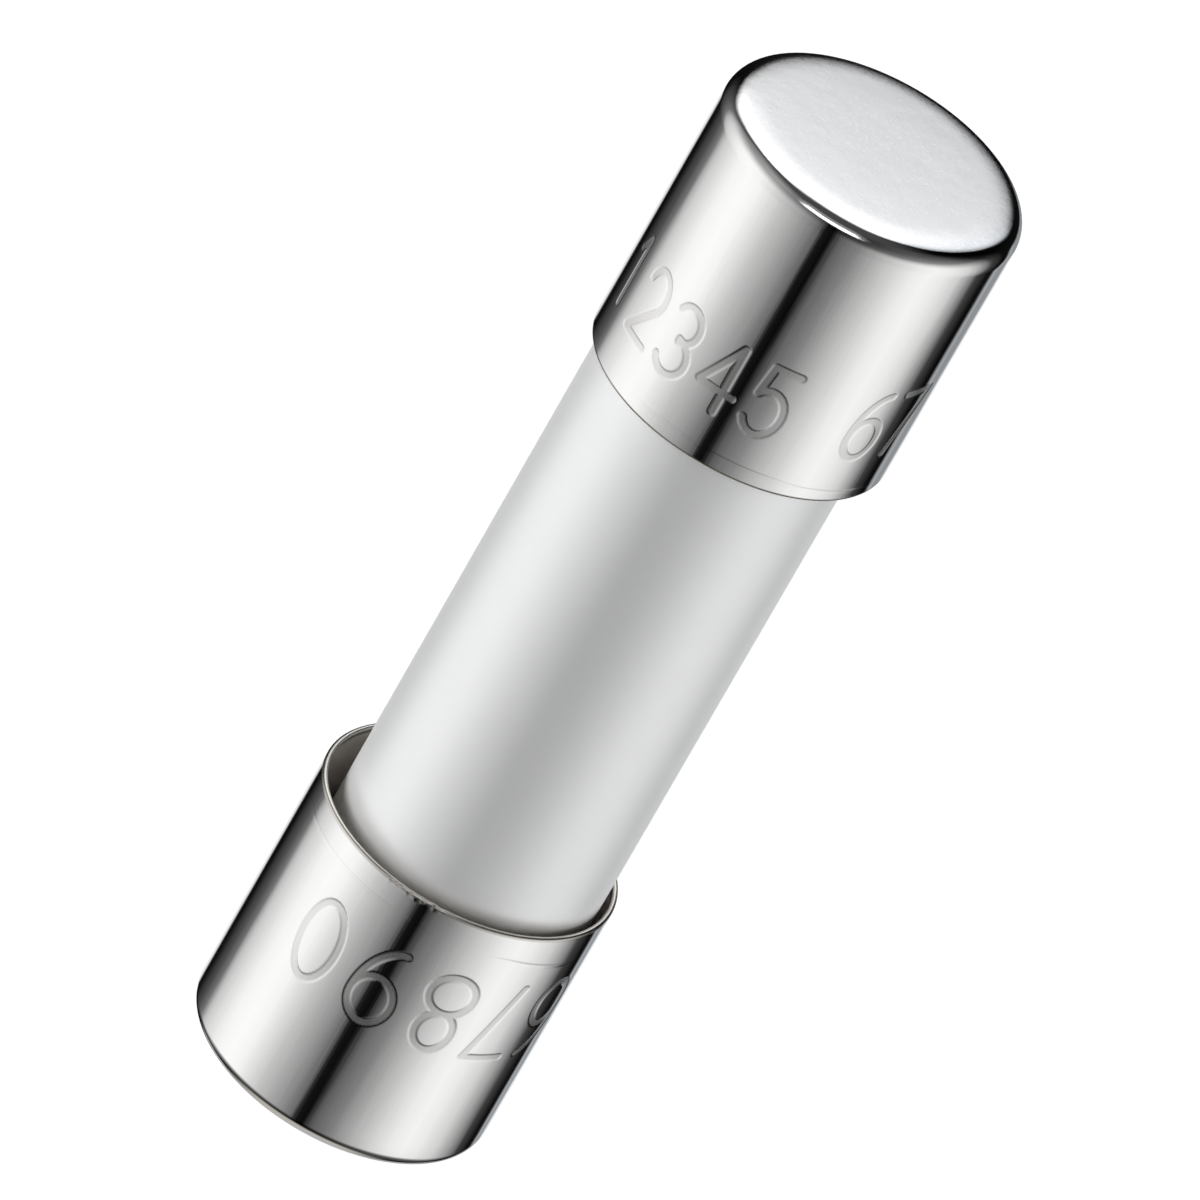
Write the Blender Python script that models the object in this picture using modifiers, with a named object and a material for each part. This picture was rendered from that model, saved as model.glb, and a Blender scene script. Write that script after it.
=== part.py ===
"""Ceramic cartridge fuse, 5 x 20 mm size, standing on its bottom cap.

Units are metres, +Z runs along the fuse, and the origin is the middle of the bottom cap's end face.
Two drawn metal caps close a ceramic tube. A wire wound on a fibre core runs down the tube's bore,
held by a solder pool in each cap, with quartz sand packed round it.
"""

import math

import bmesh
import bpy

MM = 0.001

# Driving sizes of the whole fuse
OVERALL_LENGTH = 19.85 * MM
SEAT_CLEARANCE = 0.02 * MM

# Ceramic tube
TUBE_OUTER_RADIUS = 2.32 * MM
TUBE_WALL = 0.82 * MM
TUBE_OUTER_ROUND = 0.22 * MM
TUBE_BORE_ROUND = 0.12 * MM

# Drawn end caps
CAP_LENGTH = 5.14 * MM
CAP_WALL = 0.20 * MM
CAP_FLOOR = 0.25 * MM
CAP_CORNER_RADIUS = 0.37 * MM
CAP_INNER_CORNER_RADIUS = 0.16 * MM
CAP_SIDE_SHIFT = 0.12 * MM  # each cap sits this far off the tube's axis, on opposite sides
CAP_SIDE_CLEARANCE = 0.01 * MM  # between tube and cap on the side where they all but touch
MOUTH_RELIEF = 0.095 * MM  # the wall is this much thinner at the mouth, cut from inside
MOUTH_BAND = 0.38 * MM
MOUTH_TAPER = 0.30 * MM

# Solder pools
SOLDER_THICKNESS = 0.36 * MM
SOLDER_DOME_HEIGHT = 1.05 * MM
SOLDER_BORE_GAP = 0.03 * MM

# Wound element
CORE_RADIUS = 0.26 * MM
WIRE_RADIUS = 0.075 * MM
WIRE_PITCH = 0.62 * MM
ELEMENT_EMBEDMENT = 0.70 * MM

# Sand
SAND_DOME_GAP = 0.07 * MM

# Facets
TURNED_SIDES = 64
INNER_SIDES = 40
CORE_SIDES = 24
CORNER_STEPS = 5
SMALL_CORNER_STEPS = 3
LIP_STEPS = 4
DOME_STEPS = 6
WIRE_POINTS_PER_TURN = 10
WIRE_BEVEL_RESOLUTION = 2

MERGE_DISTANCE = 1e-6
SHARP_ANGLE = math.radians(35)

CAP_COLOUR = (0.78, 0.76, 0.73, 1.0)
CERAMIC_COLOUR = (0.84, 0.84, 0.83, 1.0)
SOLDER_COLOUR = (0.55, 0.56, 0.58, 1.0)
WIRE_COLOUR = (0.72, 0.70, 0.66, 1.0)
CORE_COLOUR = (0.80, 0.79, 0.72, 1.0)
SAND_COLOUR = (0.66, 0.60, 0.50, 1.0)

# Sizes that follow from the ones above
TUBE_BORE_RADIUS = TUBE_OUTER_RADIUS - TUBE_WALL
CAP_INNER_RADIUS = TUBE_OUTER_RADIUS + CAP_SIDE_SHIFT + CAP_SIDE_CLEARANCE
CAP_OUTER_RADIUS = CAP_INNER_RADIUS + CAP_WALL
MOUTH_INNER_RADIUS = CAP_INNER_RADIUS + MOUTH_RELIEF
LIP_RADIUS = (CAP_WALL - MOUTH_RELIEF) / 2
SOLDER_TOP_DEPTH = CAP_FLOOR + SEAT_CLEARANCE
SOLDER_FACE_DEPTH = SOLDER_TOP_DEPTH + SOLDER_THICKNESS
SOLDER_TIP_DEPTH = SOLDER_FACE_DEPTH + SOLDER_DOME_HEIGHT
SOLDER_RADIUS = CAP_INNER_RADIUS - SEAT_CLEARANCE
SOLDER_DOME_RADIUS = TUBE_BORE_RADIUS - CAP_SIDE_SHIFT - SOLDER_BORE_GAP
TUBE_END_DEPTH = SOLDER_FACE_DEPTH + SEAT_CLEARANCE
ELEMENT_END_DEPTH = SOLDER_TIP_DEPTH - ELEMENT_EMBEDMENT
WIRE_HELIX_RADIUS = (CORE_RADIUS + SEAT_CLEARANCE + WIRE_RADIUS) / math.cos(math.pi / WIRE_POINTS_PER_TURN)
WOUND_RADIUS = WIRE_HELIX_RADIUS + WIRE_RADIUS
CHANNEL_RADIUS = WOUND_RADIUS + SEAT_CLEARANCE


def clear_scene():
    for obj in list(bpy.data.objects):
        bpy.data.objects.remove(obj, do_unlink=True)


def new_collection(name):
    collection = bpy.data.collections.new(name)
    bpy.context.scene.collection.children.link(collection)
    return collection


def new_material(name, colour, metallic, roughness):
    material = bpy.data.materials.new(name)
    material.use_nodes = True
    shader = material.node_tree.nodes["Principled BSDF"]
    shader.inputs["Base Color"].default_value = colour
    shader.inputs["Metallic"].default_value = metallic
    shader.inputs["Roughness"].default_value = roughness
    material.diffuse_color = colour
    return material


def arc(centre_x, centre_z, radius_x, radius_z, start, end, steps):
    """Points of an elliptic arc in the profile plane, both ends included, angles in degrees."""
    points = []
    for step in range(steps + 1):
        angle = math.radians(start + (end - start) * step / steps)
        points.append((centre_x + radius_x * math.cos(angle), centre_z + radius_z * math.sin(angle)))
    return points


def turned(name, profile, closed, sides, material, collection):
    """A solid turned about the object's own Z axis from (radius, height) points."""
    mesh = bpy.data.meshes.new(name)
    last = len(profile) - 1
    edges = [(i, i + 1) for i in range(last)]
    if closed:
        edges.append((last, 0))
    mesh.from_pydata([(x, 0.0, z) for x, z in profile], edges, [])
    mesh.materials.append(material)
    obj = bpy.data.objects.new(name, mesh)
    collection.objects.link(obj)
    screw = obj.modifiers.new("Turn", "SCREW")
    screw.axis = "Z"
    screw.steps = sides
    screw.render_steps = sides
    screw.use_merge_vertices = True
    screw.merge_threshold = MERGE_DISTANCE
    screw.use_smooth_shade = True
    return obj


def place_on_top(obj):
    """An end piece is drawn with its outer face at height 0, looking up."""
    obj.location = (CAP_SIDE_SHIFT, 0.0, OVERALL_LENGTH)


def place_on_bottom(obj):
    obj.location = (-CAP_SIDE_SHIFT, 0.0, 0.0)
    obj.rotation_euler = (0.0, math.pi, 0.0)


def cap_profile():
    """Half section of the drawn cup: flat end, rounded corner, straight wall, thin rounded mouth."""
    corner_x = CAP_OUTER_RADIUS - CAP_CORNER_RADIUS
    inner_corner_x = CAP_INNER_RADIUS - CAP_INNER_CORNER_RADIUS
    inner_corner_z = -(CAP_FLOOR + CAP_INNER_CORNER_RADIUS)
    lip_x = CAP_OUTER_RADIUS - LIP_RADIUS
    lip_z = -(CAP_LENGTH - LIP_RADIUS)
    band_z = -(CAP_LENGTH - MOUTH_BAND)
    points = [(0.0, 0.0)]
    points += arc(corner_x, -CAP_CORNER_RADIUS, CAP_CORNER_RADIUS, CAP_CORNER_RADIUS, 90, 0, CORNER_STEPS)
    points += arc(lip_x, lip_z, LIP_RADIUS, LIP_RADIUS, 0, -180, LIP_STEPS)
    points.append((MOUTH_INNER_RADIUS, band_z))
    points.append((CAP_INNER_RADIUS, band_z + MOUTH_TAPER))
    points += arc(
        inner_corner_x,
        inner_corner_z,
        CAP_INNER_CORNER_RADIUS,
        CAP_INNER_CORNER_RADIUS,
        0,
        90,
        SMALL_CORNER_STEPS,
    )
    points.append((0.0, -CAP_FLOOR))
    return points


def make_caps(parts):
    material = new_material("nickel_plated_brass", CAP_COLOUR, 1.0, 0.12)
    for name, place in (("end_cap_top", place_on_top), ("end_cap_bottom", place_on_bottom)):
        cap = turned(name, cap_profile(), False, TURNED_SIDES, material, parts)
        place(cap)


def tube_profile():
    """Closed half section of the tube, with both ends rounded outside and in the bore."""
    low = TUBE_END_DEPTH
    high = OVERALL_LENGTH - TUBE_END_DEPTH
    outer_x = TUBE_OUTER_RADIUS - TUBE_OUTER_ROUND
    bore_x = TUBE_BORE_RADIUS + TUBE_BORE_ROUND
    outer = (TUBE_OUTER_ROUND, TUBE_OUTER_ROUND)
    bore = (TUBE_BORE_ROUND, TUBE_BORE_ROUND)
    points = arc(bore_x, high - TUBE_BORE_ROUND, *bore, 180, 90, SMALL_CORNER_STEPS)
    points += arc(outer_x, high - TUBE_OUTER_ROUND, *outer, 90, 0, SMALL_CORNER_STEPS)
    points += arc(outer_x, low + TUBE_OUTER_ROUND, *outer, 0, -90, SMALL_CORNER_STEPS)
    points += arc(bore_x, low + TUBE_BORE_ROUND, *bore, -90, -180, SMALL_CORNER_STEPS)
    return points


def make_tube(parts):
    material = new_material("glazed_ceramic", CERAMIC_COLOUR, 0.0, 0.35)
    turned("ceramic_tube", tube_profile(), True, TURNED_SIDES, material, parts)


def solder_profile():
    """Half section of a pool that fills the cap's floor and rises into the bore as a dome."""
    corner = CAP_INNER_CORNER_RADIUS
    points = [(0.0, -SOLDER_TOP_DEPTH)]
    points += arc(
        SOLDER_RADIUS - corner, -(SOLDER_TOP_DEPTH + corner), corner, corner, 90, 0, SMALL_CORNER_STEPS
    )
    points.append((SOLDER_RADIUS, -SOLDER_FACE_DEPTH))
    points += arc(
        0.0, -SOLDER_FACE_DEPTH, SOLDER_DOME_RADIUS, SOLDER_DOME_HEIGHT, 0, -90, DOME_STEPS
    )
    return points


def pocket_cutter(name, end_height, direction, cutters):
    """The straight hole that the element's end fills, from its end out past the dome's tip."""
    depth = ELEMENT_EMBEDMENT + SEAT_CLEARANCE + SOLDER_DOME_HEIGHT
    mesh = bpy.data.meshes.new(name)
    shape = bmesh.new()
    bmesh.ops.create_cone(
        shape,
        cap_ends=True,
        segments=CORE_SIDES,
        radius1=CHANNEL_RADIUS,
        radius2=CHANNEL_RADIUS,
        depth=depth,
    )
    shape.to_mesh(mesh)
    shape.free()
    cutter = bpy.data.objects.new(name, mesh)
    cutters.objects.link(cutter)
    cutter.location = (0.0, 0.0, end_height + direction * (depth / 2 - SEAT_CLEARANCE))
    cutter.hide_render = True
    cutter.display_type = "WIRE"
    return cutter


def make_solder(parts, cutters):
    material = new_material("tin_solder", SOLDER_COLOUR, 1.0, 0.38)
    ends = (
        ("solder_top", place_on_top, OVERALL_LENGTH - ELEMENT_END_DEPTH, -1),
        ("solder_bottom", place_on_bottom, ELEMENT_END_DEPTH, 1),
    )
    for name, place, end_height, direction in ends:
        pool = turned(name, solder_profile(), False, INNER_SIDES, material, parts)
        place(pool)
        pocket = pool.modifiers.new("Element pocket", "BOOLEAN")
        pocket.operation = "DIFFERENCE"
        pocket.solver = "EXACT"
        pocket.object = pocket_cutter(name + "_pocket", end_height, direction, cutters)


def make_core(parts):
    material = new_material("glass_fibre_core", CORE_COLOUR, 0.0, 0.8)
    length = OVERALL_LENGTH - 2 * ELEMENT_END_DEPTH
    mesh = bpy.data.meshes.new("element_core")
    shape = bmesh.new()
    bmesh.ops.create_cone(
        shape, cap_ends=True, segments=CORE_SIDES, radius1=CORE_RADIUS, radius2=CORE_RADIUS, depth=length
    )
    shape.to_mesh(mesh)
    shape.free()
    mesh.materials.append(material)
    core = bpy.data.objects.new("element_core", mesh)
    parts.objects.link(core)
    core.location = (0.0, 0.0, OVERALL_LENGTH / 2)
    mesh.shade_smooth()
    mesh.set_sharp_from_angle(angle=SHARP_ANGLE)


def make_wire(parts):
    """The fusible wire, a helix laid on the core from one solder pocket to the other."""
    material = new_material("element_wire", WIRE_COLOUR, 1.0, 0.3)
    low = ELEMENT_END_DEPTH + WIRE_RADIUS
    high = OVERALL_LENGTH - ELEMENT_END_DEPTH - WIRE_RADIUS
    steps = round((high - low) / WIRE_PITCH * WIRE_POINTS_PER_TURN)
    curve = bpy.data.curves.new("fuse_wire", "CURVE")
    curve.dimensions = "3D"
    curve.bevel_depth = WIRE_RADIUS
    curve.bevel_resolution = WIRE_BEVEL_RESOLUTION
    curve.use_fill_caps = True
    spline = curve.splines.new("POLY")
    spline.points.add(steps)
    for step, point in enumerate(spline.points):
        angle = 2 * math.pi * step / WIRE_POINTS_PER_TURN
        height = low + (high - low) * step / steps
        point.co = (
            WIRE_HELIX_RADIUS * math.cos(angle),
            WIRE_HELIX_RADIUS * math.sin(angle),
            height,
            1.0,
        )
    curve.materials.append(material)
    wire = bpy.data.objects.new("fuse_wire", curve)
    parts.objects.link(wire)


def sand_profile():
    """Closed half section of the packed sand: it fills the bore, hollowed at each end round a dome."""
    outer_x = TUBE_BORE_RADIUS - SEAT_CLEARANCE
    hollow_x = SOLDER_DOME_RADIUS + CAP_SIDE_SHIFT + SAND_DOME_GAP
    hollow_z = SOLDER_DOME_HEIGHT + SAND_DOME_GAP
    rim_angle = math.degrees(math.acos(outer_x / hollow_x))
    channel_angle = math.degrees(math.acos(CHANNEL_RADIUS / hollow_x))
    high = OVERALL_LENGTH - SOLDER_FACE_DEPTH
    low = SOLDER_FACE_DEPTH
    points = arc(0.0, high, hollow_x, hollow_z, -channel_angle, -rim_angle, DOME_STEPS)
    points += arc(0.0, low, hollow_x, hollow_z, rim_angle, channel_angle, DOME_STEPS)
    return points


def make_sand(parts):
    material = new_material("quartz_sand", SAND_COLOUR, 0.0, 0.9)
    turned("sand_fill", sand_profile(), True, INNER_SIDES, material, parts)


def main():
    clear_scene()
    parts = new_collection("ceramic_cartridge_fuse")
    cutters = new_collection("cutters")
    make_caps(parts)
    make_tube(parts)
    make_solder(parts, cutters)
    make_core(parts)
    make_wire(parts)
    make_sand(parts)


main()
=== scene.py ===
"""The looks of a ceramic cartridge fuse: finely modelled end caps and tube, materials, studio and camera.

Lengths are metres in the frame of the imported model. Around the fuse, an angle of 0 faces the camera (-Y)
and grows towards +X. An end cap is drawn with its end face at height 0 and its mouth below, and the
bottom one is the same drawing turned over, so its own angles are the scene's with the other sign.
"""

import math

import bpy
import numpy as np
from mathutils import Matrix, Vector


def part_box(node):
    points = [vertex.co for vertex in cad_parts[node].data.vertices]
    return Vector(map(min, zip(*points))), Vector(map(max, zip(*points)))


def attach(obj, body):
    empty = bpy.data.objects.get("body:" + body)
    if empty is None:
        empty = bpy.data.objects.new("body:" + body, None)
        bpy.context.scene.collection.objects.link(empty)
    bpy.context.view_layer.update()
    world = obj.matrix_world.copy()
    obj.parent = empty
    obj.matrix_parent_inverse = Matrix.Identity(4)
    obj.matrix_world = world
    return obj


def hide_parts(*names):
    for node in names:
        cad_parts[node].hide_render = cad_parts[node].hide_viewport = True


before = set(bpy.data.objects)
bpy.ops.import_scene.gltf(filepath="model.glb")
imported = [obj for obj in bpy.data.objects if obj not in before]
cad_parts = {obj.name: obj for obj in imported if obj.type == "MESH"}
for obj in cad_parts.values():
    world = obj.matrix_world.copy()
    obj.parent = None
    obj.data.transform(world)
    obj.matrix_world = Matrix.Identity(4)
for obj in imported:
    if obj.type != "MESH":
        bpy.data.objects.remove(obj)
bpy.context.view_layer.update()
MM = 0.001

# Sizes read from the frame
TOP_LOW, TOP_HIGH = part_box("end_cap_top")
TUBE_LOW, TUBE_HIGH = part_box("ceramic_tube")
OVERALL_LENGTH = TOP_HIGH.z
CAP_RADIUS = (TOP_HIGH.x - TOP_LOW.x) / 2
CAP_LENGTH = TOP_HIGH.z - TOP_LOW.z
CAP_SHIFT = (TOP_HIGH.x + TOP_LOW.x) / 2
TUBE_RADIUS = TUBE_HIGH.y

# Cap section
CAP_WALL = 0.20 * MM
CAP_FLOOR = 0.25 * MM
MOUTH_WALL = 0.105 * MM
MOUTH_BAND = 0.38 * MM
MOUTH_TAPER = 0.30 * MM
INNER_CORNER = 0.16 * MM

# End face: nearly flat, then a crown that steepens up to the rounded corner. It is satin where it is
# flatter than SATIN_SLOPE and polished where it is steeper than POLISHED_SLOPE.
TOP_CORNER_RADIUS = 0.35 * MM
BOTTOM_CORNER_RADIUS = 0.29 * MM
FACE_RADIUS = 1.88 * MM
FACE_SLOPE = math.radians(1.2)
CROWN_SLOPE = math.radians(17)
SATIN_SLOPE = math.radians(8)
POLISHED_SLOPE = math.radians(19)
FACE_ROWS = 7
CROWN_ROWS = 8
CORNER_ROWS = 22

# Tube section
TUBE_WALL = 0.82 * MM
TUBE_OUTER_ROUND = 0.22 * MM
TUBE_BORE_ROUND = 0.12 * MM
TUBE_ROWS = 240
TUBE_SIDES = 192

# Painted shade on the tube at the bottom cap's mouth, standing for the crevice's shadow and the dark
# reflection of the cap's inside, with a little real stain: its reach below and above the mouth, its share
# on the left, and the angles between which it grows to the whole
SHADE_AND_STAIN_DOWN = 0.20 * MM
SHADE_AND_STAIN_UP = 0.22 * MM
SHADE_AND_STAIN_LEFT_SHARE = 0.30
SHADE_AND_STAIN_TURN = (-60, 25)

# Stamped figures and the grid that holds them
GROOVE_WIDTH = 0.132 * MM
GROOVE_EDGE = 0.036 * MM
GROOVE_DEPTH = 0.0065 * MM
FINE_STEP = 0.018 * MM
BAND_MARGIN = 0.10 * MM
FINE_HALF_ANGLE = 84.0
COARSE_STEP = 3.5
WALL_ROWS = 8
LIP_STEPS = 8

# Fine lines that the drawing die left near the mouths
LINE_WIDTH = 0.035 * MM
LINE_ROW_STEP = 0.024 * MM
LINE_LOW = 0.14 * MM
LINE_HIGH = 0.68 * MM

# Camera, fitted to the photograph's outlines
CAMERA_ELEVATION = math.radians(30.33)
CAMERA_ROLL = math.radians(29.97)
CAMERA_DISTANCE = 394.9 * MM
PIXELS_PER_MM = 62.16
PICTURE_PIXELS = 1200
MIDDLE_PIXEL = (605.3, 612.7)
SENSOR = 36.0

# Floor
FLOOR_HALF = 500 * MM
FLOOR_WHITE = 0.93
FLOOR_SHADOW_GREY = 0.25
FLOOR_GREY = 0.8


class Graph:
    """Short calls for building a node tree."""

    def __init__(self, tree):
        self.nodes = tree.nodes
        self.links = tree.links

    def add(self, kind, **settings):
        node = self.nodes.new(kind)
        for name, value in settings.items():
            setattr(node, name, value)
        return node

    def feed(self, socket, value):
        if isinstance(value, bpy.types.NodeSocket):
            self.links.new(value, socket)
        elif isinstance(value, (tuple, list)) and len(value) == 3 and socket.type == "RGBA":
            socket.default_value = (*value, 1.0)
        else:
            socket.default_value = value

    def math(self, operation, *values):
        node = self.add("ShaderNodeMath", operation=operation)
        for socket, value in zip(node.inputs, values):
            self.feed(socket, value)
        return node.outputs[0]

    def smooth(self, value, low, high, to_low=0.0, to_high=1.0):
        node = self.add("ShaderNodeMapRange", interpolation_type="SMOOTHSTEP")
        for name, given in (
            ("Value", value),
            ("From Min", low),
            ("From Max", high),
            ("To Min", to_low),
            ("To Max", to_high),
        ):
            self.feed(node.inputs[name], given)
        return node.outputs["Result"]

    def window(self, value, low, high, soft):
        """1 between low and high, falling to 0 over soft outside them."""
        rise = self.smooth(value, low - soft, low)
        fall = self.smooth(value, high, high + soft, 1.0, 0.0)
        return self.math("MULTIPLY", rise, fall)

    def mix(self, factor, a, b):
        node = self.add("ShaderNodeMix", data_type="RGBA")
        self.feed(node.inputs[0], factor)
        self.feed(node.inputs[6], a)
        self.feed(node.inputs[7], b)
        return node.outputs[2]

    def blend_number(self, factor, a, b):
        node = self.add("ShaderNodeMix", data_type="FLOAT")
        self.feed(node.inputs[0], factor)
        self.feed(node.inputs[2], a)
        self.feed(node.inputs[3], b)
        return node.outputs[0]

    def ramp(self, value, stops, full_range):
        """Straight runs between stops of (place, grey), places from -full_range / 2 to full_range / 2."""
        node = self.add("ShaderNodeValToRGB")
        band = node.color_ramp
        band.interpolation = "LINEAR"
        while len(band.elements) < len(stops):
            band.elements.new(0.5)
        for element, (place, grey) in zip(band.elements, stops):
            element.position = place / full_range + 0.5
            element.color = (grey, grey, grey, 1.0)
        self.feed(node.inputs[0], self.math("MULTIPLY_ADD", value, 1 / full_range, 0.5))
        return node.outputs[0]

    def noise(self, vector, detail=3.0, roughness=0.5):
        node = self.add("ShaderNodeTexNoise")
        self.feed(node.inputs["Vector"], vector)
        self.feed(node.inputs["Scale"], 1.0)
        self.feed(node.inputs["Detail"], detail)
        self.feed(node.inputs["Roughness"], roughness)
        return node.outputs["Fac"]

    def stretched(self, scale, turn=(0.0, 0.0, 0.0)):
        """The piece's own coordinates in millimetres, scaled by axis."""
        coordinates = self.add("ShaderNodeTexCoord")
        mapping = self.add("ShaderNodeMapping")
        self.links.new(coordinates.outputs["Object"], mapping.inputs["Vector"])
        mapping.inputs["Rotation"].default_value = turn
        mapping.inputs["Scale"].default_value = [axis / MM for axis in scale]
        return mapping.outputs["Vector"]

    def attribute(self, name):
        node = self.add("ShaderNodeAttribute", attribute_name=name)
        return node.outputs["Fac"]

    def bump(self, height, strength, distance, normal=None):
        node = self.add("ShaderNodeBump")
        self.feed(node.inputs["Strength"], strength)
        self.feed(node.inputs["Distance"], distance)
        self.feed(node.inputs["Height"], height)
        if normal is not None:
            self.feed(node.inputs["Normal"], normal)
        return node.outputs["Normal"]


def new_material(name, metallic):
    material = bpy.data.materials.new(name)
    material.use_nodes = True
    shader = material.node_tree.nodes["Principled BSDF"]
    shader.inputs["Metallic"].default_value = metallic
    return material, Graph(material.node_tree), shader


def nickel_material():
    """Bright nickel over drawn brass: polished sides, satin end faces, milky stamping, dull inside."""
    material, graph, shader = new_material("bright_nickel", 1.0)
    end = graph.attribute("end_face")
    stamp = graph.attribute("stamp")
    inside = graph.attribute("inside")
    lip = graph.attribute("lip")
    cloud = graph.noise(graph.stretched((1.1, 1.1, 1.1)), 4.0)
    colour = graph.mix(cloud, (0.92, 0.917, 0.912), (0.945, 0.943, 0.938))
    colour = graph.mix(graph.math("MULTIPLY", stamp, 0.16), colour, (0.74, 0.69, 0.68))
    colour = graph.mix(lip, colour, (0.74, 0.71, 0.66))
    colour = graph.mix(inside, colour, (0.60, 0.56, 0.51))
    end_colour = graph.mix(cloud, (0.925, 0.93, 0.945), (0.955, 0.96, 0.975))
    graph.feed(shader.inputs["Base Color"], graph.mix(end, colour, end_colour))
    graph.feed(shader.inputs["Metallic"], graph.smooth(inside, 0.0, 1.0, 1.0, 0.25))

    drawn = graph.noise(graph.stretched((26.0, 26.0, 0.35)), 2.0)
    roughness = graph.smooth(drawn, 0.3, 0.8, 0.050, 0.085)
    roughness = graph.math("MULTIPLY_ADD", stamp, 0.24, roughness)
    roughness = graph.math("MULTIPLY_ADD", lip, 0.18, roughness)
    roughness = graph.blend_number(inside, roughness, 0.45)
    grain = graph.noise(graph.stretched((14.0, 44.0, 14.0), (0.0, 0.0, math.radians(24))))
    end_roughness = graph.smooth(grain, 0.3, 0.7, 0.27, 0.34)
    graph.feed(shader.inputs["Roughness"], graph.blend_number(end, roughness, end_roughness))

    waves = graph.noise(graph.stretched((2.2, 2.2, 0.30)), 2.0)
    normal = graph.bump(waves, 0.30, 0.010 * MM)
    normal = graph.bump(drawn, 0.10, 0.004 * MM, normal)
    pits = graph.smooth(graph.noise(graph.stretched((13.0, 13.0, 13.0)), 2.0), 0.62, 0.72)
    end_height = graph.math("SUBTRACT", grain, graph.math("MULTIPLY", pits, 0.8))
    normal = graph.bump(graph.math("MULTIPLY", end_height, end), 0.10, 0.010 * MM, normal)
    graph.feed(shader.inputs["Normal"], normal)
    return material


def ceramic_material():
    """White fired alumina with a satin skin and painted shade where the bottom cap begins."""
    material, graph, shader = new_material("white_ceramic", 0.0)
    shader.inputs["IOR"].default_value = 2.6
    shader.inputs["Specular IOR Level"].default_value = 1.0
    cloud = graph.noise(graph.stretched((0.5, 0.5, 0.25)))
    body = graph.mix(cloud, (0.875, 0.885, 0.89), (0.905, 0.91, 0.91))
    # Painted shade: the crevice's shadow and the dark reflection of the cap's inside, with a little brown
    # stain, mixed into the base colour
    mouth_shade_and_stain = graph.attribute("mouth_shade_and_stain")
    spots = graph.noise(graph.stretched((2.5, 2.5, 2.5)), 4.0)
    mouth_shade_and_stain_amount = graph.math("MULTIPLY", mouth_shade_and_stain, graph.smooth(spots, 0.2, 0.8, 0.80, 1.0))
    graph.feed(shader.inputs["Base Color"], graph.mix(mouth_shade_and_stain_amount, body, (0.22, 0.20, 0.175)))
    fine = graph.noise(graph.stretched((9.0, 9.0, 9.0)), 2.0)
    graph.feed(shader.inputs["Roughness"], graph.smooth(fine, 0.3, 0.7, 0.30, 0.36))
    graph.feed(shader.inputs["Normal"], graph.bump(fine, 0.05, 0.005 * MM))
    return material


def solder_material():
    material, graph, shader = new_material("dull_solder", 1.0)
    cloud = graph.noise(graph.stretched((3.0, 3.0, 3.0)), 5.0)
    graph.feed(shader.inputs["Base Color"], graph.mix(cloud, (0.46, 0.47, 0.49), (0.66, 0.67, 0.69)))
    graph.feed(shader.inputs["Roughness"], graph.smooth(cloud, 0.3, 0.7, 0.28, 0.5))
    graph.feed(shader.inputs["Normal"], graph.bump(cloud, 0.3, 0.02 * MM))
    return material


def wire_material():
    material, graph, shader = new_material("plated_wire", 1.0)
    drawn = graph.noise(graph.stretched((30.0, 30.0, 30.0)))
    graph.feed(shader.inputs["Base Color"], graph.mix(drawn, (0.66, 0.64, 0.60), (0.80, 0.78, 0.74)))
    graph.feed(shader.inputs["Roughness"], graph.smooth(drawn, 0.3, 0.7, 0.2, 0.36))
    return material


def fibre_material():
    material, graph, shader = new_material("glass_fibre", 0.0)
    strands = graph.noise(graph.stretched((60.0, 60.0, 1.5)))
    graph.feed(shader.inputs["Base Color"], graph.mix(strands, (0.70, 0.68, 0.60), (0.90, 0.89, 0.84)))
    graph.feed(shader.inputs["Normal"], graph.bump(strands, 0.6, 0.01 * MM))
    shader.inputs["Roughness"].default_value = 0.7
    return material


def sand_material():
    material, graph, shader = new_material("quartz_sand", 0.0)
    cells = graph.add("ShaderNodeTexVoronoi")
    graph.feed(cells.inputs["Vector"], graph.stretched((5.0, 5.0, 5.0)))
    cells.inputs["Scale"].default_value = 1.0
    shade = graph.math("FRACT", graph.math("MULTIPLY", cells.outputs["Distance"], 3.0))
    graph.feed(shader.inputs["Base Color"], graph.mix(shade, (0.56, 0.50, 0.41), (0.80, 0.76, 0.68)))
    graph.feed(shader.inputs["Normal"], graph.bump(cells.outputs["Distance"], 1.0, 0.05 * MM))
    shader.inputs["Roughness"].default_value = 0.75
    return material


def arc_points(centre, radii, start, end, steps):
    """Points of an elliptic arc, both ends included, angles in degrees."""
    angles = np.radians(np.linspace(start, end, steps + 1))
    return [(centre[0] + radii[0] * math.cos(a), centre[1] + radii[1] * math.sin(a)) for a in angles]


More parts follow.
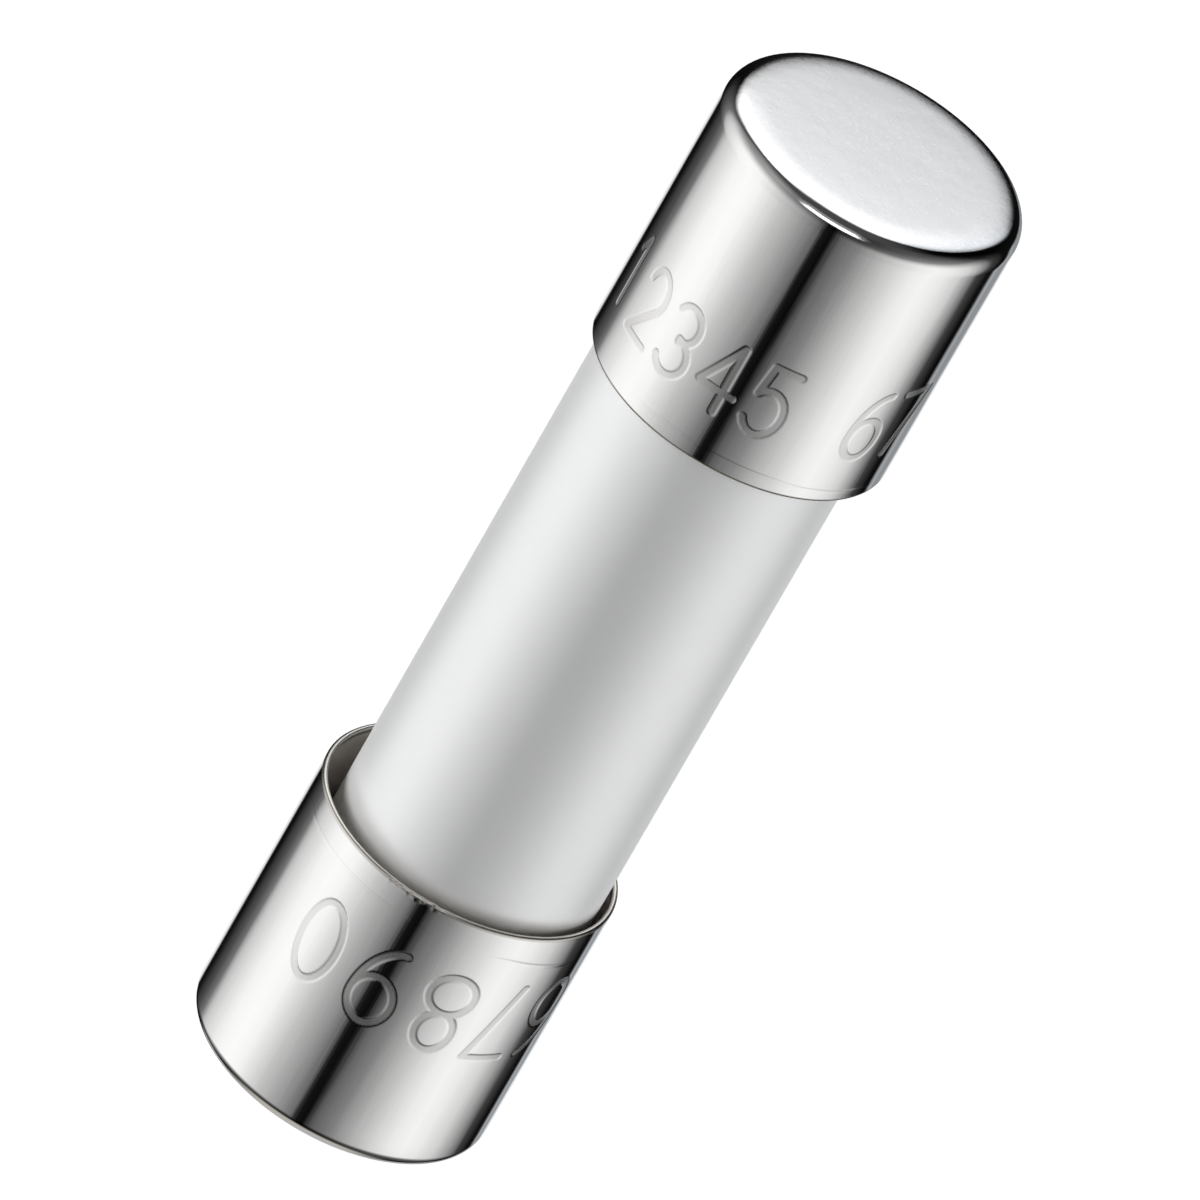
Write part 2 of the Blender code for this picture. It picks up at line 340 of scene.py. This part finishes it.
def figure_strokes():
    """Plain figures as strokes in a box 1 wide and 1 tall."""
    half_turn = 16
    return {
        "0": [arc_points((0.5, 0.5), (0.5, 0.5), 0, 360, 2 * half_turn)],
        "1": [[(0.22, 0.76), (0.56, 1.0), (0.56, 0.0)]],
        "2": [arc_points((0.5, 0.70), (0.46, 0.30), 165, -35, half_turn) + [(0.02, 0.0), (1.0, 0.0)]],
        "3": [
            arc_points((0.46, 0.745), (0.44, 0.255), 150, -90, half_turn)
            + arc_points((0.46, 0.265), (0.50, 0.265), 90, -150, half_turn)
        ],
        "4": [[(0.72, 0.0), (0.72, 1.0), (0.0, 0.30), (1.0, 0.30)]],
        "5": [
            [(0.92, 1.0), (0.20, 1.0), (0.10, 0.56)]
            + arc_points((0.46, 0.33), (0.50, 0.33), 128, -150, half_turn)
        ],
        "6": [
            arc_points((0.5, 0.30), (0.48, 0.30), 0, 360, 2 * half_turn),
            arc_points((0.86, 0.30), (0.84, 0.70), 180, 96, half_turn),
        ],
        "7": [[(0.0, 1.0), (1.0, 1.0), (0.34, 0.0)]],
        "8": [
            arc_points((0.5, 0.75), (0.40, 0.25), 0, 360, 2 * half_turn),
            arc_points((0.5, 0.25), (0.50, 0.25), 0, 360, 2 * half_turn),
        ],
        "9": [
            arc_points((0.5, 0.70), (0.48, 0.30), 0, 360, 2 * half_turn),
            arc_points((0.14, 0.70), (0.84, 0.70), 0, -84, half_turn),
        ],
    }


def distance_to_strokes(across, up, strokes):
    """Distance from each grid point to the nearest stroke, all in metres."""
    nearest = np.full(across.shape, 1.0)
    for stroke in strokes:
        for (ax, ay), (bx, by) in zip(stroke, stroke[1:]):
            length_squared = (bx - ax) ** 2 + (by - ay) ** 2
            share = ((across - ax) * (bx - ax) + (up - ay) * (by - ay)) / max(length_squared, 1e-18)
            share = np.clip(share, 0.0, 1.0)
            gap = np.hypot(across - ax - share * (bx - ax), up - ay - share * (by - ay))
            nearest = np.minimum(nearest, gap)
    return nearest


def smoothstep(low, high, value):
    share = np.clip((value - low) / (high - low), 0.0, 1.0)
    return share * share * (3 - 2 * share)


def end_rows(corner_radius):
    """The crowned end face and its rounded corner as (radius, height, slope), from the middle outwards."""
    corner_start = CAP_RADIUS - corner_radius * (1 - math.sin(CROWN_SLOPE))

    def slope_at(radius):
        if radius <= FACE_RADIUS:
            return FACE_SLOPE * (radius / FACE_RADIUS) ** 2
        share = (radius - FACE_RADIUS) / (corner_start - FACE_RADIUS)
        return FACE_SLOPE + (CROWN_SLOPE - FACE_SLOPE) * share**2

    face = np.linspace(0, FACE_RADIUS, FACE_ROWS + 1)
    crown = np.linspace(FACE_RADIUS, corner_start, CROWN_ROWS + 1)
    places = [*face, *crown[1:]]
    height = 0.0
    rows = []
    for inner, outer in zip(places, places[1:]):
        height -= (outer - inner) * math.tan(slope_at((inner + outer) / 2))
        rows.append((outer, height, slope_at(outer)))
    for slope in np.linspace(CROWN_SLOPE, math.pi / 2, CORNER_ROWS + 1)[1:]:
        radius = CAP_RADIUS - corner_radius * (1 - math.sin(slope))
        drop = corner_radius * (math.cos(CROWN_SLOPE) - math.cos(slope))
        rows.append((radius, height - drop, slope))
    return rows


def cap_rows(band, corner_radius):
    """Section of a cap as rows (radius, height, kind, satin share) from the end face to the inside."""
    band_low, band_high = band
    ends = end_rows(corner_radius)
    rows = [
        (radius, height, "end", 1 - smoothstep(SATIN_SLOPE, POLISHED_SLOPE, slope))
        for radius, height, slope in ends
    ]
    corner_end = ends[-1][1]
    lip_radius = MOUTH_WALL / 2
    above_mouth = list(np.linspace(CAP_LENGTH + corner_end, band_high, WALL_ROWS + 1)[1:-1])
    above_mouth += list(np.linspace(band_high, band_low, round((band_high - band_low) / FINE_STEP) + 1))
    above_mouth += [(band_low + LINE_HIGH) / 2]
    above_mouth += list(np.linspace(LINE_HIGH, LINE_LOW, round((LINE_HIGH - LINE_LOW) / LINE_ROW_STEP) + 1))
    above_mouth += list(np.linspace(LINE_LOW, lip_radius, 6)[1:-1])
    rows += [(CAP_RADIUS, up - CAP_LENGTH, "wall", 0.0) for up in above_mouth]
    lip = (CAP_RADIUS - lip_radius, lip_radius - CAP_LENGTH)
    rows += [(r, z, "lip", 0.0) for r, z in arc_points(lip, (lip_radius,) * 2, 0, -180, LIP_STEPS)]
    band_z = MOUTH_BAND - CAP_LENGTH
    inner = CAP_RADIUS - CAP_WALL
    corner = (inner - INNER_CORNER, -(CAP_FLOOR + INNER_CORNER))
    inside = [(CAP_RADIUS - MOUTH_WALL, z) for z in np.linspace(lip[1], band_z, 4)[1:]]
    inside += [(inner, z) for z in np.linspace(band_z + MOUTH_TAPER, corner[1], 4)]
    inside += arc_points(corner, (INNER_CORNER,) * 2, 0, 90, 5)[1:]
    inside.append((inner / 2, -CAP_FLOOR))
    rows += [(r, z, "inside", 0.0) for r, z in inside]
    return rows


def column_angles():
    """Angles round a cap in degrees, fine over the stamped half and coarse behind."""
    fine_count = round(math.radians(2 * FINE_HALF_ANGLE) * CAP_RADIUS / FINE_STEP)
    fine = np.linspace(-FINE_HALF_ANGLE, FINE_HALF_ANGLE, fine_count + 1)
    coarse_count = round((360 - 2 * FINE_HALF_ANGLE) / COARSE_STEP)
    coarse = np.linspace(FINE_HALF_ANGLE, 360 - FINE_HALF_ANGLE, coarse_count + 1)[1:-1]
    return np.concatenate([fine, coarse])


def stamped_depth(angles, above_mouth, stamping):
    """Groove depth over the wall, by row and column, for figures listed with their angles."""
    figures, width, height, base = stamping
    strokes = figure_strokes()
    depth = np.zeros((len(above_mouth), len(angles)))
    up_all = above_mouth - base
    for text, centre in figures:
        across_all = np.radians(angles - centre) * CAP_RADIUS
        columns = np.where(np.abs(across_all) < GROOVE_WIDTH + width / 2)[0]
        rows = np.where((up_all > -GROOVE_WIDTH) & (up_all < height + GROOVE_WIDTH))[0]
        across, up = np.meshgrid(across_all[columns], up_all[rows])
        scaled = [[((x - 0.5) * width, y * height) for x, y in stroke] for stroke in strokes[text]]
        gap = distance_to_strokes(across, up, scaled)
        low = (GROOVE_WIDTH - GROOVE_EDGE) / 2
        groove = GROOVE_DEPTH * (1 - smoothstep(low, low + GROOVE_EDGE, gap))
        block = np.ix_(rows, columns)
        depth[block] = np.maximum(depth[block], groove)
    return depth


def line_depth(angles, above_mouth, lines):
    """Depth of faint lines round the mouth: each runs between two angles, at a height for each of them."""
    depth = np.zeros((len(above_mouth), len(angles)))
    for low_angle, high_angle, low_height, high_height, deepest in lines:
        middle = np.interp(angles, (low_angle, high_angle), (low_height, high_height))
        fade = smoothstep(low_angle - 14, low_angle + 10, angles)
        fade *= 1 - smoothstep(high_angle - 10, high_angle + 14, angles)
        gap = np.abs(above_mouth[:, None] - middle)
        depth += deepest * fade * (1 - smoothstep(0, LINE_WIDTH, gap))
    return depth


def uneven(angles, seed, spacing):
    """An irregular line between -1 and 1, with a knot at each spacing in degrees, the same at each run."""
    count = round((angles.max() - angles.min()) / spacing)
    knots = np.random.default_rng(seed).uniform(-1, 1, count)
    return np.interp(angles, np.linspace(angles.min(), angles.max(), count), knots)


def cap_mesh(name, corner_radius, stamping, lines, burr):
    """A drawn cap with stamped figures: a grid of rows down its section and columns round it."""
    base, figure_height = stamping[3], stamping[2]
    rows = cap_rows((base - BAND_MARGIN, base + figure_height + BAND_MARGIN), corner_radius)
    angles = column_angles()
    count = len(angles)
    radius, height = (np.array([row[i] for row in rows]) for i in (0, 1))
    kinds = np.array([row[2] for row in rows])
    satin = np.array([row[3] for row in rows])
    r = np.repeat(radius[:, None], count, axis=1)
    z = np.repeat(height[:, None], count, axis=1)

    wall = kinds == "wall"
    above_mouth = height[wall] + CAP_LENGTH
    stamped = np.zeros_like(r)
    stamped[wall] = stamped_depth(angles, above_mouth, stamping)
    r -= stamped
    r[wall] -= line_depth(angles, above_mouth, lines)

    if burr:
        low, high, reach, rise = burr
        along = smoothstep(low - 2, low + 3, angles) * (1 - smoothstep(high - 3, high + 2, angles))
        teeth = sum(TOOTH_SHARE * uneven(angles, seed, spacing) for seed, spacing in TOOTH_LINES)
        near_lip = np.clip(1 - (z + CAP_LENGTH) / reach, 0, 1) * (kinds != "inside")[:, None]
        z -= near_lip * along * rise * teeth
        r += near_lip * along * rise * SIDEWAYS_SHARE * uneven(angles, *SIDEWAYS_LINE)

    theta = np.radians(angles)
    points = np.stack([r * np.sin(theta), -r * np.cos(theta), z], axis=-1).reshape(-1, 3)
    middle = len(points)
    points = np.concatenate([points, [(0, 0, 0), (0, 0, -CAP_FLOOR)]])
    here = np.arange(count)
    following = (here + 1) % count
    quads = []
    for i in range(len(rows) - 1):
        a = i * count
        b = a + count
        quads.append(np.stack([a + here, b + here, b + following, a + following], axis=-1))
    last = (len(rows) - 1) * count
    fans = [(middle, h, f) for h, f in zip(here, following)]
    fans += [(middle + 1, last + f, last + h) for h, f in zip(here, following)]
    mesh = bpy.data.meshes.new(name)
    mesh.from_pydata(points.tolist(), [], np.concatenate(quads).tolist() + fans)
    mesh.update()
    mesh.shade_smooth()

    write_mask(mesh, "end_face", np.append(np.repeat(satin, count), [1.0, 0.0]))
    write_mask(mesh, "stamp", np.append(stamped / GROOVE_DEPTH, [0.0, 0.0]))
    write_mask(mesh, "inside", np.append(np.repeat(kinds == "inside", count), [0.0, 1.0]))
    write_mask(mesh, "lip", np.append(np.repeat(kinds == "lip", count), [0.0, 0.0]))
    return mesh


def write_mask(mesh, name, values):
    attribute = mesh.attributes.new(name, "FLOAT", "POINT")
    attribute.data.foreach_set("value", np.asarray(values, np.float32))


def add_object(name, mesh, material, node):
    obj = bpy.data.objects.new(name, mesh)
    bpy.context.scene.collection.objects.link(obj)
    mesh.materials.clear()
    mesh.materials.append(material)
    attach(obj, "root")
    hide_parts(node)


# Figures with their angles, then their width, height and base above the mouth
TOP_STAMPING = (
    (("1", -67), ("2", -47.5), ("3", -28), ("4", -8.5), ("5", 10.5), ("6", 50), ("7", 68)),
    0.62 * MM,
    1.29 * MM,
    0.94 * MM,
)
BOTTOM_STAMPING = (
    (("6", -70), ("7", -48), ("8", -24), ("9", 1.5), ("0", 28)),
    0.78 * MM,
    1.50 * MM,
    1.08 * MM,
)

# Faint lines: from and to in degrees, height above the mouth at each, depth
TOP_LINES = (
    (-28, 24, 0.30 * MM, 0.29 * MM, 0.0042 * MM),
    (28, 60, 0.26 * MM, 0.20 * MM, 0.0036 * MM),
)
BOTTOM_LINES = (
    (-60, -36, 0.61 * MM, 0.51 * MM, 0.0045 * MM),
    (6, 58, 0.46 * MM, 0.46 * MM, 0.0034 * MM),
)

# Rough stretch of the bottom cap's lip: from and to in degrees, reach below the lip, height of its teeth
BOTTOM_BURR = (-6, 19, 0.12 * MM, 0.016 * MM)

# Its teeth: the seeds and spacings in degrees of two irregular lines that are added, and of one that
# moves the lip sideways, with their shares of the teeth's height
TOOTH_LINES = ((5, 0.9), (6, 2.3))
TOOTH_SHARE = 0.6
SIDEWAYS_LINE = (7, 1.1)
SIDEWAYS_SHARE = 0.35


def make_caps():
    nickel = nickel_material()
    top = cap_mesh("cap_top_mesh", TOP_CORNER_RADIUS, TOP_STAMPING, TOP_LINES, None)
    top.transform(Matrix.Translation((CAP_SHIFT, 0, OVERALL_LENGTH)))
    add_object("end_cap_top_shell", top, nickel, "end_cap_top")
    bottom = cap_mesh("cap_bottom_mesh", BOTTOM_CORNER_RADIUS, BOTTOM_STAMPING, BOTTOM_LINES, BOTTOM_BURR)
    turn_over = Matrix.Rotation(math.pi, 4, "Y")
    bottom.transform(Matrix.Translation((-CAP_SHIFT, 0, 0)) @ turn_over)
    add_object("end_cap_bottom_shell", bottom, nickel, "end_cap_bottom")


def turned_mesh(name, section, sides):
    """A closed section, given as (radius, height) running down its outer side, turned about Z."""
    count = len(section)
    theta = np.linspace(0, 2 * math.pi, sides, endpoint=False)
    radius = np.array([p[0] for p in section])[:, None]
    height = np.repeat(np.array([p[1] for p in section])[:, None], sides, axis=1)
    points = np.stack([radius * np.sin(theta), -radius * np.cos(theta), height], axis=-1)
    here = np.arange(sides)
    following = (here + 1) % sides
    quads = []
    for i in range(count):
        a = i * sides
        b = (i + 1) % count * sides
        quads.append(np.stack([a + here, b + here, b + following, a + following], axis=-1))
    mesh = bpy.data.meshes.new(name)
    mesh.from_pydata(points.reshape(-1, 3).tolist(), [], np.concatenate(quads).tolist())
    mesh.update()
    mesh.shade_smooth()
    return mesh


def make_tube():
    """The fired tube, with rounded ends and a mask of painted shade and some stain in the bottom cap's
    mouth.
    """
    low, high = TUBE_LOW.z, TUBE_HIGH.z
    outer_x = TUBE_RADIUS - TUBE_OUTER_ROUND
    bore_x = TUBE_RADIUS - TUBE_WALL + TUBE_BORE_ROUND
    outer = (TUBE_OUTER_ROUND,) * 2
    bore = (TUBE_BORE_ROUND,) * 2
    section = arc_points((bore_x, high - TUBE_BORE_ROUND), bore, 180, 90, 5)
    section += arc_points((outer_x, high - TUBE_OUTER_ROUND), outer, 90, 0, 7)
    heights = np.linspace(high - TUBE_OUTER_ROUND, low + TUBE_OUTER_ROUND, TUBE_ROWS + 1)[1:-1]
    section += [(TUBE_RADIUS, z) for z in heights]
    section += arc_points((outer_x, low + TUBE_OUTER_ROUND), outer, 0, -90, 7)
    section += arc_points((bore_x, low + TUBE_BORE_ROUND), bore, -90, -180, 5)
    mesh = turned_mesh("tube_mesh", section, TUBE_SIDES)
    points = np.empty(len(mesh.vertices) * 3)
    mesh.vertices.foreach_get("co", points)
    x, y, height = points.reshape(-1, 3).T
    turn = np.degrees(np.arctan2(x, -y))
    # Painted shade with a little stain: darker towards the bottom cap's mouth and towards the right
    mouth_shade_and_stain = 1 - smoothstep(CAP_LENGTH - SHADE_AND_STAIN_DOWN, CAP_LENGTH + SHADE_AND_STAIN_UP, height)
    mouth_shade_and_stain *= SHADE_AND_STAIN_LEFT_SHARE + (1 - SHADE_AND_STAIN_LEFT_SHARE) * smoothstep(*SHADE_AND_STAIN_TURN, turn)
    write_mask(mesh, "mouth_shade_and_stain", mouth_shade_and_stain)
    add_object("ceramic_tube_body", mesh, ceramic_material(), "ceramic_tube")


def dress_inner_nodes():
    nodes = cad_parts
    solder = solder_material()
    for name, material in (
        ("solder_top", solder),
        ("solder_bottom", solder),
        ("fuse_wire", wire_material()),
        ("element_core", fibre_material()),
        ("sand_fill", sand_material()),
    ):
        mesh = nodes[name].data
        mesh.materials.clear()
        mesh.materials.append(material)


def make_floor():
    """A plain white floor that the camera sees as white, with the fuse's soft shadow on it."""
    mesh = bpy.data.meshes.new("floor")
    corners = [(x * FLOOR_HALF, y * FLOOR_HALF, 0) for x, y in ((-1, -1), (1, -1), (1, 1), (-1, 1))]
    mesh.from_pydata(corners, [], [(0, 1, 2, 3)])
    floor = bpy.data.objects.new("floor", mesh)
    bpy.context.scene.collection.objects.link(floor)
    floor.visible_glossy = False
    material = bpy.data.materials.new("white_floor")
    material.use_nodes = True
    graph = Graph(material.node_tree)
    graph.nodes.clear()
    output = graph.add("ShaderNodeOutputMaterial")
    path = graph.add("ShaderNodeLightPath")
    plain = graph.add("ShaderNodeBsdfDiffuse")
    plain.inputs["Color"].default_value = (*(FLOOR_GREY,) * 3, 1)
    faint = graph.add("ShaderNodeBsdfDiffuse")
    faint.inputs["Color"].default_value = (*(FLOOR_SHADOW_GREY,) * 3, 1)
    white = graph.add("ShaderNodeEmission")
    white.inputs["Strength"].default_value = FLOOR_WHITE
    lit = graph.add("ShaderNodeAddShader")
    graph.links.new(faint.outputs[0], lit.inputs[0])
    graph.links.new(white.outputs[0], lit.inputs[1])
    chosen = graph.add("ShaderNodeMixShader")
    graph.links.new(path.outputs["Is Camera Ray"], chosen.inputs[0])
    graph.links.new(plain.outputs[0], chosen.inputs[1])
    graph.links.new(lit.outputs[0], chosen.inputs[2])
    graph.links.new(chosen.outputs[0], output.inputs["Surface"])
    mesh.materials.append(material)


# Brightness of the studio round the horizon, as (degrees from the camera, brightness): a large softbox
# each side, a thin dark gap behind the camera, and dark flags behind the fuse
STUDIO_RING = (
    (-180, 0.01),
    (-152, 0.003),
    (-146, 0.017),
    (-132, 0.08),
    (-123, 0.17),
    (-116, 0.51),
    (-111, 0.65),
    (-88, 0.98),
    (-74, 1.04),
    (-62, 0.98),
    (-40, 0.58),
    (-16, 0.24),
    (-10, 0.145),
    (-6.5, 0.008),
    (0.5, 0.002),
    (4, 0.057),
    (8, 0.13),
    (20, 0.23),
    (64, 0.89),
    (76, 0.97),
    (88, 0.89),
    (102, 0.68),
    (122, 0.05),
    (134, 0.004),
)

# How far the right flag leans outwards below, in degrees, and the angles round the fuse and the heights
# over which its lean grows
FLAG_LEAN = 9.0
LEAN_TURN = (90.0, 140.0)
LEAN_RISE = (-29.4, -31.4)

# The ring's share by height in degrees, on the left and on the right, where the softbox is lower
LEFT_RISE = (
    (-90, 0.0),
    (-62, 0.0),
    (-55, 0.05),
    (-45, 0.32),
    (-35, 1.0),
    (12, 1.0),
    (22, 0.84),
    (31, 0.58),
    (41, 0.36),
    (53, 0.32),
    (63, 0.16),
    (70, 0.06),
    (90, 0.06),
)
RIGHT_RISE = (
    (-90, 0.0),
    (-62, 0.0),
    (-55, 0.07),
    (-45, 0.15),
    (-38, 0.60),
    (-32, 1.0),
    (10, 1.0),
    (20, 0.72),
    (30, 0.28),
    (41, 0.16),
    (52, 0.09),
    (70, 0.055),
    (90, 0.055),
)

# Cards, as from, to and softness round the fuse, the same in height, and brightness. The first list counts
# from the camera and grows to the right, the second from behind the fuse and grows to the left.
FRONT_CARDS = (
    (-28, 14, 14, 48, 58, 4, 1.7),
    (-40, 20, 20, 56, 68, 10, 0.26),
    (145, 147, 6, -44, -8, 8, 0.40),
    (147, 168, 6, -44, -8, 8, 0.30),
)
BACK_CARDS = (
    (-12, 38, 18, 36, 60, 17, 1.34),
    (-13, 15, 8, -33, -28, 2, 0.80),
    (-30, 34, 18, -95, -50, 8, 0.48),
)

# Brightness straight above and below, with the heights over which it grows, and of the even light on
# what isn't mirrored
ZENITH_LEVEL = 0.06
ZENITH_RISE = (55.0, 75.0)
GROUND_LEVEL = 0.48
GROUND_RISE = (-57.0, -76.0)
AMBIENT_LEVEL = 0.12

# Colours of the warm ground and of the cool strip behind on the right, with their places in degrees
WARM_GROUND = (1.0, 0.965, 0.88)
WARM_RISE = (-50.0, -64.0)
COOL_STRIP = (0.93, 0.965, 1.0)
COOL_TURN = (140.0, 168.0, 3.0)

# Lamps on the ceramic: name, degrees from the camera, height in degrees, strength, spread in degrees
LAMPS = (
    ("left_softbox", -78, 8, 2.8, 40),
    ("right_softbox", 92, 8, 2.45, 40),
    ("front_fill", 0, 12, 0.95, 60),
)


def make_world():
    """What metal mirrors: the ring of softboxes and flags, cards above and behind, and the pale ground."""
    world = bpy.data.worlds.new("studio")
    bpy.context.scene.world = world
    world.use_nodes = True
    graph = Graph(world.node_tree)
    graph.nodes.clear()
    place = graph.add("ShaderNodeTexCoord")
    split = graph.add("ShaderNodeSeparateXYZ")
    graph.links.new(place.outputs["Generated"], split.inputs[0])
    x, y, z = split.outputs
    degrees = 180 / math.pi
    turn = graph.math("MULTIPLY", graph.math("ARCTAN2", x, graph.math("MULTIPLY", y, -1.0)), degrees)
    rise = graph.math("MULTIPLY", graph.math("ARCSINE", z), degrees)
    behind = graph.math("WRAP", graph.math("ADD", turn, 180.0), 180.0, -180.0)
    lean = graph.smooth(turn, *LEAN_TURN, 0.0, FLAG_LEAN)
    lean = graph.math("MULTIPLY", lean, graph.smooth(rise, *LEAN_RISE))
    turn = graph.math("SUBTRACT", turn, lean)

    ring = graph.ramp(turn, STUDIO_RING, 360)
    left = graph.ramp(rise, LEFT_RISE, 180)
    right = graph.ramp(rise, RIGHT_RISE, 180)
    share = graph.blend_number(graph.smooth(turn, -8.0, 8.0), left, right)
    level = graph.math("MULTIPLY", ring, share)
    for around, cards in ((turn, FRONT_CARDS), (behind, BACK_CARDS)):
        for low, high, soft, bottom, top, edge, brightness in cards:
            card = graph.math(
                "MULTIPLY", graph.window(around, low, high, soft), graph.window(rise, bottom, top, edge)
            )
            level = graph.math("MAXIMUM", level, graph.math("MULTIPLY", card, brightness))
    zenith = graph.smooth(rise, *ZENITH_RISE, 0.0, ZENITH_LEVEL)
    ground = graph.smooth(rise, *GROUND_RISE, 0.0, GROUND_LEVEL)
    level = graph.math("MAXIMUM", level, graph.math("MAXIMUM", zenith, ground))

    tint = graph.mix(graph.smooth(rise, *WARM_RISE), (1.0, 1.0, 1.0), WARM_GROUND)
    tint = graph.mix(graph.window(turn, *COOL_TURN), tint, COOL_STRIP)
    mirrored = graph.add("ShaderNodeBackground")
    graph.feed(mirrored.inputs["Color"], tint)
    graph.feed(mirrored.inputs["Strength"], level)
    ambient = graph.add("ShaderNodeBackground")
    ambient.inputs["Color"].default_value = (1, 1, 1, 1)
    ambient.inputs["Strength"].default_value = AMBIENT_LEVEL
    white = graph.add("ShaderNodeBackground")
    white.inputs["Color"].default_value = (1, 1, 1, 1)
    path = graph.add("ShaderNodeLightPath")
    first = graph.add("ShaderNodeMixShader")
    graph.links.new(path.outputs["Is Glossy Ray"], first.inputs[0])
    graph.links.new(ambient.outputs[0], first.inputs[1])
    graph.links.new(mirrored.outputs[0], first.inputs[2])
    second = graph.add("ShaderNodeMixShader")
    graph.links.new(path.outputs["Is Camera Ray"], second.inputs[0])
    graph.links.new(first.outputs[0], second.inputs[1])
    graph.links.new(white.outputs[0], second.inputs[2])
    output = graph.add("ShaderNodeOutputWorld")
    graph.links.new(second.outputs[0], output.inputs["Surface"])


def make_lamp(name, turn, rise, strength, spread):
    """A soft distant lamp at an angle round the fuse and a height above the floor, both in degrees."""
    light = bpy.data.lights.new(name, "SUN")
    light.energy = strength
    light.angle = math.radians(spread)
    lamp = bpy.data.objects.new(name, light)
    bpy.context.scene.collection.objects.link(lamp)
    a, e = math.radians(turn), math.radians(rise)
    towards = Vector((math.sin(a) * math.cos(e), -math.cos(a) * math.cos(e), math.sin(e)))
    lamp.rotation_euler = towards.to_track_quat("Z", "Y").to_euler()
    lamp.location = towards * CAMERA_DISTANCE
    lamp.visible_glossy = False


def make_camera():
    """The photograph's camera: a long lens looking down on the fuse, rolled so that it leans right."""
    sin_e, cos_e = math.sin(CAMERA_ELEVATION), math.cos(CAMERA_ELEVATION)
    forward = Vector((0, cos_e, -sin_e))
    level_up = Vector((0, sin_e, cos_e))
    level_right = Vector((1, 0, 0))
    sin_r, cos_r = math.sin(CAMERA_ROLL), math.cos(CAMERA_ROLL)
    right = level_right * cos_r + level_up * sin_r
    up = level_up * cos_r - level_right * sin_r
    pixel = MM / PIXELS_PER_MM
    aside = (MIDDLE_PIXEL[0] - PICTURE_PIXELS / 2) * pixel
    below = (MIDDLE_PIXEL[1] - PICTURE_PIXELS / 2) * pixel
    target = Vector((0, 0, OVERALL_LENGTH / 2)) - right * aside + up * below
    data = bpy.data.cameras.new("camera")
    data.sensor_width = SENSOR
    data.lens = CAMERA_DISTANCE / MM * PIXELS_PER_MM / PICTURE_PIXELS * SENSOR
    data.clip_start = 0.01
    data.clip_end = 10.0
    camera = bpy.data.objects.new("camera", data)
    bpy.context.scene.collection.objects.link(camera)
    place = Matrix((right, up, -forward)).transposed().to_4x4()
    place.translation = target - forward * CAMERA_DISTANCE
    camera.matrix_world = place
    bpy.context.scene.camera = camera


make_caps()
make_tube()
dress_inner_nodes()
make_floor()
make_world()
for lamp_values in LAMPS:
    make_lamp(*lamp_values)
make_camera()
bpy.context.scene.view_settings.view_transform = "Standard"
